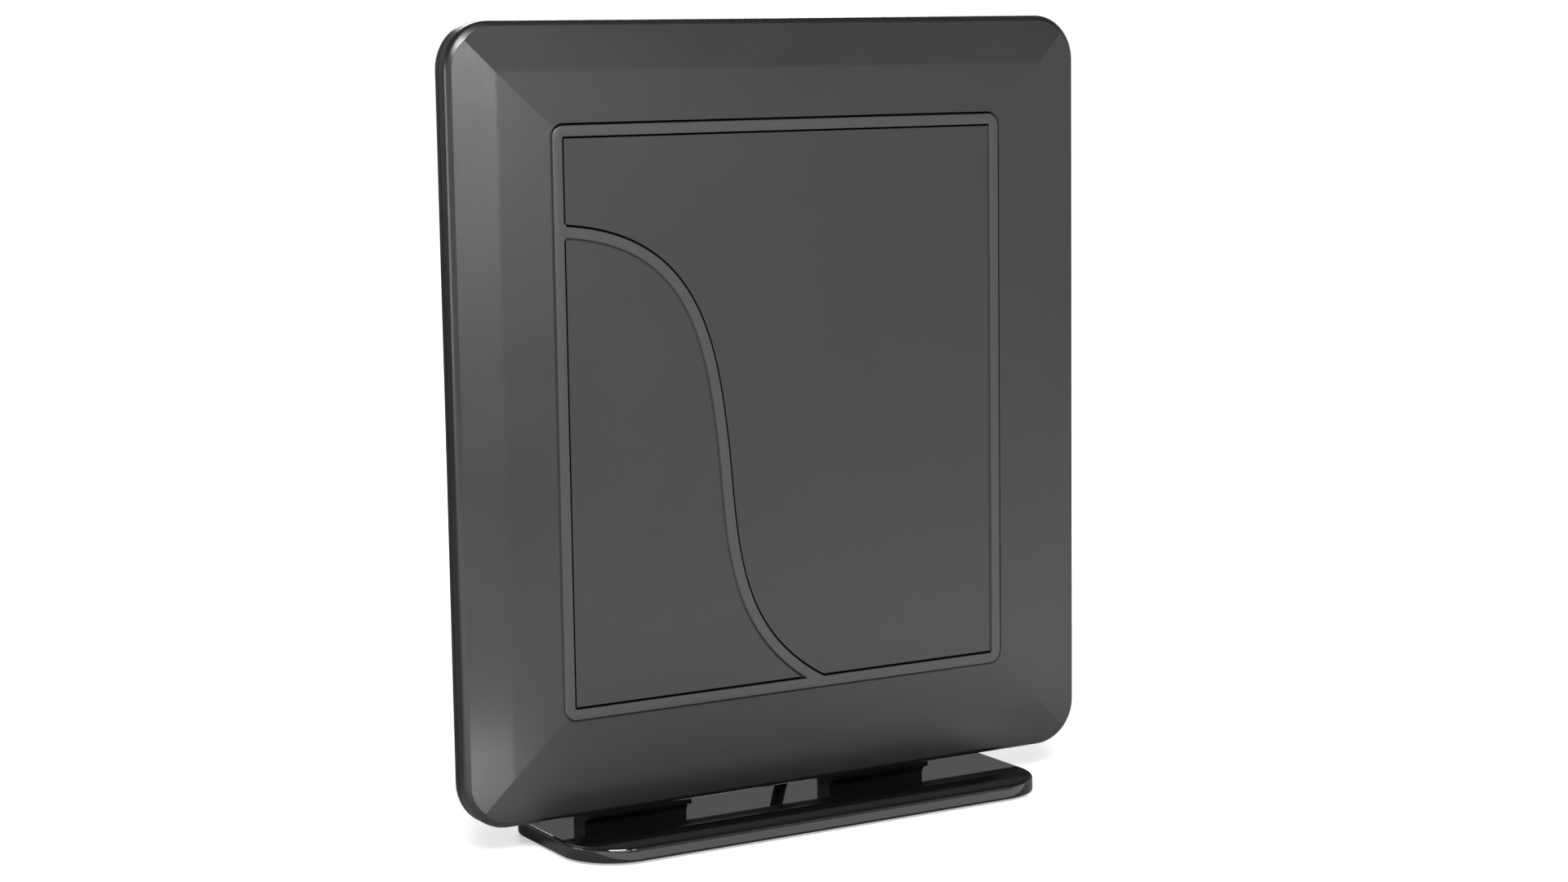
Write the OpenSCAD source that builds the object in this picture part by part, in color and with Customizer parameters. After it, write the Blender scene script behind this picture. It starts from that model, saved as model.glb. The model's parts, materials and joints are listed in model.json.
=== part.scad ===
// Indoor television antenna: a flat moulded panel that stands upright on a glossy base.
// Millimetres, +Z up, front towards -Y, origin at the middle of the footprint on the table.

/* [Panel] */
// Overall width of the panel
panel_w = 376; // [340:1:420]
// Overall height of the panel
panel_h = 406; // [370:1:450]
// Outer corner radius of the panel, seen from the front
corner_r = 24; // [18:1:32]
// Depth of the front shell from the seam to the rim of the bevels
front_depth = 9.4; // [9:0.1:11]
// Depth of the rear shell from the seam to the back face
rear_depth = 5.7; // [5.5:0.1:8]
// Shadow gap between the two shells
seam_gap = 0.4; // [0.3:0.1:0.8]
// Wall of the two shells
shell_wall = 2.4; // [2:0.1:3]
// Radius that rounds the front edge of the side wall
front_edge_r = 4; // [2:0.2:5]
// Slope of the narrow strip between that rounding and the bevel
front_strip_tilt = 35; // [25:1:50]
// Radius that rounds the back edge of the side wall
rear_edge_r = 3; // [2:0.2:3.6]

/* [Front relief] */
// Width of the outer bevel
outer_bevel_w = 22.5; // [16:0.5:26]
// Rise of the outer bevel
outer_bevel_rise = 2.4; // [2:0.1:3.2]
// Width of the inner bevel, out to the middle of the ring
inner_bevel_w = 31.7; // [26:0.1:34]
// How much narrower the inner bevel is above and below the field
bevel_trim = 2; // [0:0.1:4]
// Rise of the inner bevel
inner_bevel_rise = 1.4; // [1:0.1:1.8]
// Width of the raised bead at half its height
bead_w = 5.5; // [4:0.5:6]
// Height of the raised bead above the field
bead_h = 0.8; // [0.5:0.1:1.2]
// Run of the bead's sloping side
bead_run = 0.8; // [0.4:0.1:1]
// Outer corner radius of the bead ring
ring_r = 7; // [7:0.5:14]
// Height of the curve's upper end above the middle of the panel
curve_rise = 98; // [80:1:110]
// How far the curve's crossing point lies left of the middle of the panel
curve_cross_x = 39; // [25:1:50]
// Where the curve meets the ring's lower side, right of the middle
curve_foot_x = 19; // [5:1:35]

/* [Base] */
// Width of the base
base_w = 284; // [250:1:330]
// Depth of the base
base_d = 106; // [98:1:130]
// Height of the base cover
base_h = 7.7; // [7.3:0.1:10]
// Corner radius of the base in plan
base_corner_r = 30; // [20:1:36]
// Radius that rounds the top edge of the base
base_edge_r = 1.6; // [1:0.1:2]
// Wall of the base cover
base_wall = 2.4; // [2:0.1:2.6]
// Thickness of the bottom pan
pan_t = 1.8; // [1.6:0.1:2.2]
// Height that the rubber feet stand below the pan
foot_proud = 1.5; // [1:0.1:3]
// Diameter of a rubber foot
foot_d = 16; // [10:1:20]
// Distance that the steel ballast plate reaches beyond the outer foot screws
ballast_margin = 13.2; // [8:0.1:20]
// Depth of the steel ballast plate
ballast_d = 84; // [70:1:86]

/* [Stand brackets] */
// Clear height between the base and the panel's lower edge
panel_gap = 7; // [5:0.5:12]
// Width of one bracket
bracket_w = 61; // [50:1:66]
// Distance of a bracket's middle from the middle of the stand
bracket_x = 75.5; // [72:0.5:84]
// Thickness of the bracket's flange, front wall and side walls
bracket_wall = 2.7; // [2.4:0.1:3.2]
// Height of the bracket above the base
bracket_h = 138; // [128:1:160]
// Length of the pad that lies on the back of the panel
pad_h = 48; // [40:1:56]
// Depth of the bracket's leg, front to back, where it stands on the base
leg_d = 13; // [11:0.5:15]
// Distance from the back of the panel to the leg's front face at the base
leg_back = 17.5; // [14:0.5:20]
// Radius of the flare at the foot of the leg
flare_r = 6; // [3:0.5:7]

/* [Rear hub and socket] */
// Width of the raised hub on the back of the panel
hub_w = 72; // [60:1:78]
// Height of the raised hub
hub_h = 64; // [50:1:90]
// Depth that the hub stands behind the back face
hub_d = 15; // [14.5:0.5:18]
// Height of the hub's underside above the panel's lower edge
hub_low = 91; // [85:1:110]
// Corner radius of the hub
hub_r = 8; // [4:1:12]
// Width of the shallow lead channel below the hub
channel_w = 33; // [20:1:40]
// Depth of the lead channel
channel_d = 1; // [0.6:0.1:1.4]
// Diameter of the threaded socket barrel
barrel_d = 9.4; // [9:0.1:10]
// Length of the barrel that stands out of the hub
barrel_l = 11; // [10:0.5:13]
// Width across flats of the socket nut and of the plug
hex_af = 11; // [11:0.1:12]

/* [Inside] */
// Distance from the panel's side to the element sheet
sheet_side_gap = 23; // [21:1:40]
// Distance from the panel's upper and lower ends to the element sheet
sheet_end_gap = 33; // [28:1:50]
// Thickness of the element sheet
sheet_t = 1; // [0.8:0.1:1.4]
// Height of the element sheet above the rear shell's inner face
sheet_lift = 6; // [5:0.1:7]
// Thickness of the metal elements on the sheet
element_t = 0.4; // [0.3:0.1:0.6]
// Width of the loop element's strip
loop_strip = 12; // [6:1:18]
// Width of the balun board
balun_w = 46; // [36:1:50]
// Height of the balun board
balun_h = 34; // [26:1:40]

/* [Fasteners] */
// Shank diameter of the self-tapping screws
screw_d = 2.9; // [2.5:0.1:3.2]
// Head diameter of the screws
head_d = 5.6; // [5:0.1:6]
// Head height of the screws
head_h = 1.5; // [1.2:0.1:1.8]
// Outer diameter of the screw bosses
boss_d = 8; // [7.5:0.1:10]

/* [Lead] */
// Diameter of the lead
lead_d = 6.9; // [6.5:0.1:7]
// Mean diameter of the stored coil
coil_mean_d = 76; // [70:1:82]
// Turns side by side in the coil
coil_columns = 3; // [2:1:4]
// Layers of turns in the coil
coil_rows = 2; // [1:1:3]
// Length of the plug's metal shell
plug_l = 26; // [22:1:30]
// Length of the tapered strain relief
boot_l = 18; // [14:1:24]

/* [Hidden] */
$fn = 64;

eps = 0.01;
fit = 0.15;
cut_l = 60;

// Colours as the photograph shows them
panel_grey = "#3b3b3d";
gloss_black = "#141416";
metal = "silver";

// Heights from the table up
base_low_z = foot_proud;
base_top_z = base_low_z + base_h;
panel_low_z = base_top_z + panel_gap;
panel_mid_z = panel_low_z + panel_h / 2;

// Depths: the panel's thickness stands a little in front of the middle of the base
rim_y = -9;
seam_w = -front_depth;
rear_front_w = seam_w - seam_gap;
back_w = rear_front_w - rear_depth;
back_y = rim_y - back_w;
inner_back_w = back_w + shell_wall;

// Front relief, as heights over the rim plane and insets from the outline
strip_in = front_edge_r * (1 - sin(front_strip_tilt));
strip_drop = front_edge_r * (1 - cos(front_strip_tilt));
rim_inset = strip_in + strip_drop / tan(front_strip_tilt);
break_inset = rim_inset + outer_bevel_w;
ring_inset = break_inset + inner_bevel_w;
ring_end_inset = ring_inset - bevel_trim;
break_w = outer_bevel_rise;
field_w = outer_bevel_rise + inner_bevel_rise;
ring_half_w = panel_w / 2 - ring_inset;
ring_half_h = panel_h / 2 - ring_end_inset;
ring_mid_r = ring_r - bead_w / 2 - bead_run / 2;
bead_root = 0.5;
outer_tilt = atan(outer_bevel_rise / outer_bevel_w);
inner_tilt = atan(inner_bevel_rise / inner_bevel_w);
inner_end_tilt = atan(inner_bevel_rise / (inner_bevel_w - bevel_trim));

// Control points of the two arcs that make the curved bead, from the middle of the panel
curve_upper = [
  [-ring_half_w, curve_rise], [-curve_cross_x - 13, curve_rise - 5],
  [-curve_cross_x - 6, 35], [-curve_cross_x, -17]
];
curve_lower = [
  [-curve_cross_x, -17], [-curve_cross_x + 5, -71],
  [-curve_cross_x + 3, -117], [curve_foot_x, -ring_half_h]
];
curve_steps = 20;

// Screws that hold the rear shell to the front shell
screw_inset = 20;
cover_screw_x = panel_w / 2 - screw_inset;
cover_screw_z = panel_h / 2 - screw_inset;
cover_screw_spots = [
  for (sx = [-1, 1]) for (sz = [-1, 0, 1]) [sx * cover_screw_x, sz * cover_screw_z],
  for (sx = [-1, 1]) for (sz = [-1, 1]) [sx * panel_w * 0.16, sz * cover_screw_z]
];
head_sink = head_h + 0.3;
boss_split_w = seam_w + 1.4;
thread_d = 5;
cover_screw_l = boss_split_w + thread_d - 0.4 - back_w - head_sink;

// Element sheet, its elements, and the screws that hold it to the rear shell
sheet_w = panel_w - 2 * sheet_side_gap;
sheet_h = panel_h - 2 * sheet_end_gap;
loop_side_gap = 20;
loop_end_gap = 12;
loop_outer_r = 16;
loop_inner_r = 8;
sheet_corner_r = 10;
uhf_reach = sheet_w * 0.3;
uhf_shoulder = uhf_reach * 0.9;
uhf_half_h = sheet_h * 0.135;
uhf_tip_half_h = sheet_h * 0.06;
uhf_feed_half_h = 6;
uhf_split = 2.5;
sheet_screw_inset = 42;
sheet_thread_d = 5;
sheet_screw_spots = [
  for (sx = [-1, 1]) for (sz = [-1, 1])
    [sx * (sheet_w / 2 - sheet_screw_inset), sz * (sheet_h / 2 - sheet_screw_inset)]
];
sheet_low_w = inner_back_w + sheet_lift;
sheet_top_w = sheet_low_w + sheet_t;

// Brackets
leg_front_y = back_y + leg_back;
leg_rear_y = leg_front_y + leg_d;
flange_front_y = leg_front_y - flare_r;
flange_rear_y = leg_rear_y + 3;
knee_h = 20;
pad_low_h = bracket_h - pad_h;
bracket_screw_h = [pad_low_h + pad_h / 4, pad_low_h + pad_h * 0.75];
bracket_screw_gap = 19;
bracket_thread_d = 6;
foot_thread_d = 8;
foot_boss_h = foot_thread_d + 3;
rib_t = 2.4;
pocket_w = (bracket_w - 2 * bracket_wall - 2 * rib_t) / 3;
rib_pitch = pocket_w + rib_t;
foot_screw_y = leg_front_y + bracket_wall + boss_d / 2;

// Base stack
pan_top_z = base_low_z + pan_t;
base_ceiling_z = base_top_z - base_wall;
pan_clear = 0.3;
pan_screw_l = 4.4;
pan_screw_inset_x = 18;
pan_screw_inset_y = 34;
pan_screw_x = base_w / 2 - pan_screw_inset_x;
pan_screw_y = base_d / 2 - pan_screw_inset_y;
foot_inset_x = 34;
foot_inset_y = 16;
foot_x = base_w / 2 - foot_inset_x;
foot_y = base_d / 2 - foot_inset_y;
ballast_w = 2 * (bracket_x + rib_pitch + ballast_margin);
ballast_corner_r = 12;
foot_recess = 0.6;

// Hub and socket
hub_low_z = panel_low_z + hub_low;
hub_mid_z = hub_low_z + hub_h / 2;
hub_v = hub_mid_z - panel_mid_z;
hub_back_y = back_y + hub_d;
hub_wall = 2.4;
hub_edge_r = 3;
hub_thread_d = 3.5;
hub_screw_spots = [for (s = [-1, 1]) [s * (hub_w / 2 - hub_r), hub_v - s * (hub_h / 2 - hub_r)]];
socket_y = hub_back_y - hub_wall - hex_af / 2 - 0.4;
barrel_low_z = hub_low_z - barrel_l;
washer_t = 0.6;
nut_t = 2.4;
socket_tail = 6;
balun_t = 1.6;
balun_thread_d = 5;
feed_x = 6;
feed_hole_d = 2.2;
balun_y = back_y + 1.4;
balun_screw_spots = [for (s = [-1, 1]) [s * (balun_w / 2 - 4), s * (balun_h / 2 - 4)]];

// Lead: the plug hangs below the socket, and the lead leaves the strain relief downwards
plug_top_z = hub_low_z - washer_t - nut_t - 0.3;
plug_shell_l = 9;
plug_floor = 1.2;
plug_low_z = plug_top_z - plug_l;
boot_low_z = plug_low_z - boot_l;
lead_r = lead_d / 2;
lead_route = [
  [0, socket_y, boot_low_z], [0, 13.2, 56], [0.6, 13.8, 50], [3, 16.5, 42], [7, 21, 33],
  [12.5, 27.5, 25], [19.5, 35.5, 18.5], [27, 44, 14.3], [35, 52.5, 12.8], [43, 60.5, 11.4],
  [52, 66.8, 8.6], [60, 70.6, 6.2], [69, 73.3, 4.2]
];
coil_centre = [92, 119];
coil_out_r = coil_mean_d / 2 + coil_columns * lead_r;
coil_in_r = coil_mean_d / 2 - coil_columns * lead_r;
coil_h = coil_rows * lead_d;
tie_w = 8;
tie_t = 1;
tail_route = [[66.5, 164, 7.2], [57, 164, 5.9], [51, 164, 5.5], [47, 164, 5.5]];
far_plug_start = tail_route[len(tail_route) - 1];

// Flat outline with round corners, centred
module rounded_rect(w, h, r) {
  square([w - 2 * r, h], center = true);
  square([w, h - 2 * r], center = true);
  for (sx = [-1, 1]) for (sy = [-1, 1])
    translate([sx * (w / 2 - r), sy * (h / 2 - r)]) circle(r);
}

// Carries a profile round a rounded rectangle: the profile's x is measured from the corner centres
module carried(half_w, half_h, r) {
  for (sx = [-1, 1]) for (sy = [-1, 1])
    translate([sx * (half_w - r), sy * (half_h - r), 0])
      rotate([0, 0, sx > 0 ? (sy > 0 ? 0 : 270) : (sy > 0 ? 90 : 180)])
        rotate_extrude(angle = 90) children();
  for (sx = [-1, 1])
    translate([sx * (half_w - r), -sx * (half_h - r), 0]) rotate([90, 0, sx > 0 ? 0 : 180])
      mirror([0, 0, 1]) linear_extrude(2 * (half_h - r)) children();
  for (sy = [-1, 1])
    translate([sy * (half_w - r), sy * (half_h - r), 0]) rotate([90, 0, sy > 0 ? 90 : 270])
      mirror([0, 0, 1]) linear_extrude(2 * (half_w - r)) children();
}

// Stands a panel part up: its own z, the height over the rim plane, turns towards the front
module stand_up() {
  translate([0, rim_y, panel_mid_z]) rotate([90, 0, 0]) children();
}

// Places a copy at each spot of a list on the panel
module at_spots(spots) {
  for (spot = spots) translate([spot[0], spot[1], 0]) children();
}

// Everything above a plane that falls outwards from a level at a distance from the middle
module above_plane(distance, level, tilt) {
  translate([distance, 0, level]) rotate([0, tilt, 0])
    translate([-panel_h, -panel_h, 0]) cube([2 * panel_h, 2 * panel_h, cut_l]);
}

// Four bevel cuts, two at the sides and two at the ends, so that neighbours meet in mitres
module bevel_cuts(half_w, half_h, level, side_tilt, end_tilt) {
  for (turn = [0, 180]) rotate([0, 0, turn]) above_plane(half_w, level, side_tilt);
  for (turn = [90, 270]) rotate([0, 0, turn]) above_plane(half_h, level, end_tilt);
}

// Side profile of the front shell, rounded over towards the bevel
module front_side_profile() {
  top = field_w + 2;
  strip_rise = top + strip_drop;
  polygon(concat(
    [[0, seam_w], [corner_r, seam_w]],
    [for (a = [0:5:90 - front_strip_tilt])
      [corner_r - front_edge_r * (1 - cos(a)), front_edge_r * (sin(a) - 1)]],
    [[corner_r - strip_in - strip_rise / tan(front_strip_tilt), top], [0, top]]
  ));
}

// Trapezoid section of the raised bead, from its root inside the shell
function bead_section() = [
  [-bead_w / 2 - bead_run / 2, field_w - bead_root],
  [bead_w / 2 + bead_run / 2, field_w - bead_root],
  [bead_w / 2 + bead_run / 2, field_w],
  [bead_w / 2 - bead_run / 2, field_w + bead_h],
  [-bead_w / 2 + bead_run / 2, field_w + bead_h],
  [-bead_w / 2 - bead_run / 2, field_w]
];

function bezier(p, t) = pow(1 - t, 3) * p[0] + 3 * pow(1 - t, 2) * t * p[1]
  + 3 * (1 - t) * t * t * p[2] + pow(t, 3) * p[3];
function bezier_slope(p, t) = 3 * pow(1 - t, 2) * (p[1] - p[0])
  + 6 * (1 - t) * t * (p[2] - p[1]) + 3 * t * t * (p[3] - p[2]);
function unit(v) = v / norm(v);

// Stations along the curved bead: place and sideways direction
curve_places = [
  for (i = [0:curve_steps - 1]) bezier(curve_upper, i / curve_steps),
  for (i = [0:curve_steps]) bezier(curve_lower, i / curve_steps)
];
curve_slopes = [
  for (i = [0:curve_steps - 1]) unit(bezier_slope(curve_upper, i / curve_steps)),
  for (i = [0:curve_steps]) unit(bezier_slope(curve_lower, i / curve_steps))
];

// Skins a list of closed rings of points, each with the same count, into one solid
module skinned(rings) {
  n = len(rings[0]);
  last = len(rings) - 1;
  points = [for (ring = rings) for (p = ring) p];
  sides = [
    for (i = [0:last - 1]) for (j = [0:n - 1])
      let (k = (j + 1) % n)
        for (face = [
          [i * n + j, i * n + k, (i + 1) * n + j],
          [i * n + k, (i + 1) * n + k, (i + 1) * n + j]
        ]) face
  ];
  polyhedron(points, concat([[for (j = [n - 1:-1:0]) j]], sides, [[for (j = [0:n - 1]) last * n + j]]));
}

// Raised bead along the S-shaped curve
module curved_bead() {
  skinned([
    for (i = [0:len(curve_places) - 1])
      let (p = curve_places[i], side = [curve_slopes[i][1], -curve_slopes[i][0]])
        [for (q = bead_section()) [p[0] + side[0] * q[0], p[1] + side[1] * q[0], q[1]]]
  ]);
}

// Raised bead round the field
module ring_bead() {
  carried(ring_half_w, ring_half_h, ring_mid_r)
    translate([ring_mid_r, 0]) polygon(bead_section());
}

module front_outer_form() {
  difference() {
    union() {
      carried(panel_w / 2, panel_h / 2, corner_r) front_side_profile();
      translate([0, 0, (seam_w + field_w + 2) / 2])
        cube([panel_w - 2 * corner_r, panel_h - 2 * corner_r, field_w + 2 - seam_w], center = true);
    }
    bevel_cuts(panel_w / 2 - break_inset, panel_h / 2 - break_inset, break_w, outer_tilt, outer_tilt);
    bevel_cuts(ring_half_w, ring_half_h, field_w, inner_tilt, inner_end_tilt);
    translate([-panel_w, -panel_h, field_w]) cube([2 * panel_w, 2 * panel_h, cut_l]);
  }
  ring_bead();
  curved_bead();
}

// One step of the front shell's hollow, open towards the seam
module front_hollow(inset, ceiling) {
  translate([0, 0, seam_w - 1]) linear_extrude(ceiling - seam_w + 1)
    rounded_rect(panel_w - 2 * inset, panel_h - 2 * inset, max(corner_r - inset, 2));
}

module front_cover() {
  color(panel_grey) stand_up() {
    difference() {
      union() {
        difference() {
          front_outer_form();
          front_hollow(shell_wall, -shell_wall);
          front_hollow(break_inset, break_w - shell_wall);
          front_hollow(ring_inset, field_w - shell_wall);
        }
        at_spots(cover_screw_spots) translate([0, 0, boss_split_w])
          cylinder(h = 0.5 - shell_wall - boss_split_w, d = boss_d - 1.4);
      }
      at_spots(cover_screw_spots) translate([0, 0, boss_split_w - 1])
        cylinder(h = thread_d + 1, d = screw_d);
    }
  }
}

// Slab with round corners whose upper edge is rounded over
module rounded_slab(w, h, r, thick, edge_r) {
  carried(w / 2, h / 2, r) {
    square([r - edge_r, thick]);
    square([r, thick - edge_r]);
    translate([r - edge_r, thick - edge_r]) circle(edge_r);
  }
  translate([0, 0, thick / 2]) cube([w - 2 * r, h - 2 * r, thick], center = true);
}

// Lip of the rear shell that reaches into the front shell behind the shadow gap
module seam_lip() {
  inset = shell_wall + fit;
  lip_t = 1.2;
  translate([0, 0, inner_back_w]) linear_extrude(seam_w + 2 - inner_back_w) difference() {
    rounded_rect(panel_w - 2 * inset, panel_h - 2 * inset, corner_r - inset);
    rounded_rect(panel_w - 2 * (inset + lip_t), panel_h - 2 * (inset + lip_t), corner_r - inset - lip_t);
  }
}

// Hub outline, from a margin inside or outside its nominal edge
module hub_outline(margin) {
  translate([0, hub_v]) rounded_rect(hub_w - 2 * margin, hub_h - 2 * margin, hub_r - margin);
}

bracket_boss_spots = [
  for (sx = [-1, 1]) for (dx = [-1, 1]) for (h = bracket_screw_h)
    [sx * bracket_x + dx * bracket_screw_gap, base_top_z + h - panel_mid_z]
];

module rear_cover() {
  boss_top_w = sheet_low_w - 0.3;
  hub_boss_h = shell_wall + hub_thread_d + 0.4;
  color(panel_grey) stand_up() {
    difference() {
      union() {
        difference() {
          translate([0, 0, rear_front_w]) mirror([0, 0, 1])
            rounded_slab(panel_w, panel_h, corner_r, rear_depth, rear_edge_r);
          translate([0, 0, inner_back_w]) linear_extrude(cut_l)
            rounded_rect(panel_w - 2 * shell_wall, panel_h - 2 * shell_wall, corner_r - shell_wall);
          translate([-channel_w / 2, -panel_h, back_w - 1])
            cube([channel_w, panel_h + hub_low_z - panel_mid_z, channel_d + 1]);
        }
        seam_lip();
        at_spots(cover_screw_spots) translate([0, 0, back_w + 1])
          cylinder(h = boss_split_w - fit - back_w - 1, d = boss_d);
        at_spots(sheet_screw_spots) translate([0, 0, back_w + 1])
          cylinder(h = sheet_low_w - back_w - 1, d = boss_d);
        at_spots(bracket_boss_spots) translate([0, 0, back_w + 1])
          cylinder(h = boss_top_w - back_w - 1, d = boss_d);
        at_spots(hub_screw_spots) translate([0, 0, back_w + 1])
          cylinder(h = hub_boss_h - 1, d = boss_d);
      }
      at_spots(cover_screw_spots) translate([0, 0, back_w - 1]) {
        cylinder(h = cut_l, d = screw_d + 2 * fit);
        cylinder(h = head_sink + 1, d = head_d + 2 * fit);
      }
      at_spots(sheet_screw_spots) translate([0, 0, back_w + 1.4]) cylinder(h = cut_l, d = screw_d);
      at_spots(bracket_boss_spots) translate([0, 0, back_w - 1])
        cylinder(h = boss_top_w - back_w - 0.4, d = screw_d);
      at_spots(hub_screw_spots) translate([0, 0, back_w - 1])
        cylinder(h = hub_boss_h + 0.6, d = screw_d);
      translate([0, hub_v, back_w]) cube([balun_w, balun_h, cut_l], center = true);
    }
  }
}

module hub_cover() {
  post_h = hub_back_y - hub_wall - balun_y - balun_t;
  color(panel_grey) stand_up() {
    difference() {
      union() {
        difference() {
          translate([0, hub_v, back_w]) mirror([0, 0, 1])
            rounded_slab(hub_w, hub_h, hub_r, hub_d, hub_edge_r);
          translate([0, 0, back_w - hub_d + hub_wall]) linear_extrude(hub_d) hub_outline(hub_wall);
        }
        translate([0, hub_v, back_w - hub_d + hub_wall - 1]) at_spots(balun_screw_spots)
          cylinder(h = post_h + 1, d = boss_d - 2);
        at_spots(hub_screw_spots) translate([0, 0, back_w - hub_d + 1])
          cylinder(h = hub_d - 1, d = boss_d);
      }
      translate([0, hub_v, back_w - hub_d + hub_wall]) at_spots(balun_screw_spots)
        cylinder(h = hub_d, d = screw_d);
      at_spots(hub_screw_spots) translate([0, 0, back_w - hub_d - 1]) {
        cylinder(h = hub_d + 2, d = screw_d + 2 * fit);
        cylinder(h = head_sink + 1, d = head_d + 2 * fit);
      }
      translate([0, hub_low_z - panel_mid_z - 1, rim_y - socket_y]) rotate([-90, 0, 0])
        cylinder(h = hub_wall + 2, d = barrel_d + 2 * fit);
    }
  }
}

module hub_screws() {
  color(metal) stand_up() at_spots(hub_screw_spots)
    translate([0, 0, back_w - hub_d + head_sink - head_h])
      screw(hub_d - head_sink + shell_wall + hub_thread_d);
}

// Round-headed screw standing on its head, shank upwards
module screw(length) {
  cylinder(h = head_h, d = head_d);
  cylinder(h = head_h + length, d = screw_d);
}

module element_sheet() {
  color("white") stand_up() translate([0, 0, sheet_low_w]) linear_extrude(sheet_t) difference() {
    rounded_rect(sheet_w, sheet_h, sheet_corner_r);
    at_spots(sheet_screw_spots) circle(d = screw_d + 2 * fit);
    for (sx = [-1, 1]) translate([sx * cover_screw_x, 0]) circle(d = boss_d + 10);
    for (sx = [-1, 1]) translate([sx * feed_x, hub_v]) circle(d = feed_hole_d);
  }
}

// Fan-shaped plate of the UHF pair, mirrored for the left side
module uhf_plate(side) {
  color("#b87333") stand_up() translate([0, 0, sheet_top_w]) linear_extrude(element_t) difference() {
    polygon([
      [side * uhf_split, hub_v - uhf_feed_half_h], [side * uhf_shoulder, hub_v - uhf_half_h],
      [side * uhf_reach, hub_v - uhf_tip_half_h], [side * uhf_reach, hub_v + uhf_tip_half_h],
      [side * uhf_shoulder, hub_v + uhf_half_h], [side * uhf_split, hub_v + uhf_feed_half_h]
    ]);
    translate([side * feed_x, hub_v]) circle(d = feed_hole_d);
  }
}

module uhf_element_left() {
  uhf_plate(-1);
}

module uhf_element_right() {
  uhf_plate(1);
}

module vhf_loop() {
  loop_w = sheet_w - 2 * loop_side_gap;
  loop_h = sheet_h - 2 * loop_end_gap;
  color("#b87333") stand_up() translate([0, 0, sheet_top_w]) linear_extrude(element_t) difference() {
    rounded_rect(loop_w, loop_h, loop_outer_r);
    rounded_rect(loop_w - 2 * loop_strip, loop_h - 2 * loop_strip, loop_inner_r);
    translate([0, -loop_h / 2]) square([10, 4 * loop_strip], center = true);
    at_spots(sheet_screw_spots) circle(d = head_d + 4);
  }
}

module balun_board() {
  color("#2f6b3a") translate([-balun_w / 2, balun_y, hub_mid_z - balun_h / 2])
    difference() {
      cube([balun_w, balun_t, balun_h]);
      for (sx = [-1, 1]) translate([balun_w / 2 + sx * feed_x, -1, balun_h / 2]) rotate([-90, 0, 0])
        cylinder(h = 5, d = feed_hole_d);
      for (spot = balun_screw_spots)
        translate([balun_w / 2 + spot[0], -1, balun_h / 2 + spot[1]]) rotate([-90, 0, 0])
          cylinder(h = 5, d = screw_d + 2 * fit);
    }
}

module balun_screws() {
  color(metal) for (spot = balun_screw_spots)
    translate([spot[0], balun_y - head_h, hub_mid_z + spot[1]]) rotate([-90, 0, 0])
      screw(balun_t + balun_thread_d);
}

// Stiff wire from the tail of the socket up to the back of the balun board
module signal_wire() {
  wire_d = 1;
  rise = hub_mid_z - balun_h / 2 + 3 - (hub_low_z + hub_wall + socket_tail);
  color("#b87333") translate([0, socket_y, hub_low_z + hub_wall + socket_tail]) {
    cylinder(h = rise, d = wire_d);
    translate([0, 0, rise]) rotate([90, 0, 0])
      cylinder(h = socket_y - balun_y - balun_t, d = wire_d);
    translate([0, 0, rise]) sphere(d = wire_d);
  }
}

module balun_shield() {
  can_w = 26;
  can_h = 18;
  can_d = 5;
  can_wall = 0.5;
  color(metal) translate([-can_w / 2, balun_y + balun_t, hub_mid_z - can_h / 2]) difference() {
    cube([can_w, can_d, can_h]);
    translate([can_wall, -1, can_wall])
      cube([can_w - 2 * can_wall, can_d - can_wall + 1, can_h - 2 * can_wall]);
  }
}

// Two pins that carry the signal from the elements to the balun board
module feed_pins() {
  pin_l = balun_y + balun_t - (rim_y - sheet_top_w - element_t) + 0.8;
  color(metal) for (sx = [-1, 1])
    translate([sx * feed_x, rim_y - sheet_top_w - element_t - 0.4, hub_mid_z]) rotate([-90, 0, 0])
      cylinder(h = pin_l, d = feed_hole_d - 0.2);
}

module cover_screws() {
  color(metal) stand_up() at_spots(cover_screw_spots) translate([0, 0, back_w + 0.3])
    screw(cover_screw_l);
}

module sheet_screws() {
  color(metal) stand_up() at_spots(sheet_screw_spots)
    translate([0, 0, sheet_top_w + head_h]) mirror([0, 0, 1]) screw(sheet_t + sheet_thread_d);
}

module hex_prism(af, h) {
  cylinder(h = h, d = af / cos(30), $fn = 6);
}

module socket_body() {
  core_d = 5.4;
  color(metal) translate([0, socket_y, barrel_low_z]) difference() {
    union() {
      cylinder(h = barrel_l + hub_wall + socket_tail, d = barrel_d);
      translate([0, 0, barrel_l + hub_wall]) hex_prism(hex_af, 2);
    }
    translate([0, 0, -1]) cylinder(h = barrel_l + 3, d = core_d);
  }
}

module socket_insulator() {
  color("white") translate([0, socket_y, barrel_low_z + 0.8]) difference() {
    cylinder(h = barrel_l + 1, d = 5.4 - 2 * fit);
    translate([0, 0, -1]) cylinder(h = 8, d = 1.2);
  }
}

module socket_washer() {
  color(metal) translate([0, socket_y, hub_low_z - washer_t]) difference() {
    cylinder(h = washer_t, d = hex_af + 2);
    translate([0, 0, -1]) cylinder(h = washer_t + 2, d = barrel_d);
  }
}

module socket_nut() {
  color(metal) translate([0, socket_y, hub_low_z - washer_t - nut_t]) difference() {
    hex_prism(hex_af, nut_t);
    translate([0, 0, -1]) cylinder(h = nut_t + 2, d = barrel_d);
  }
}

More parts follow.
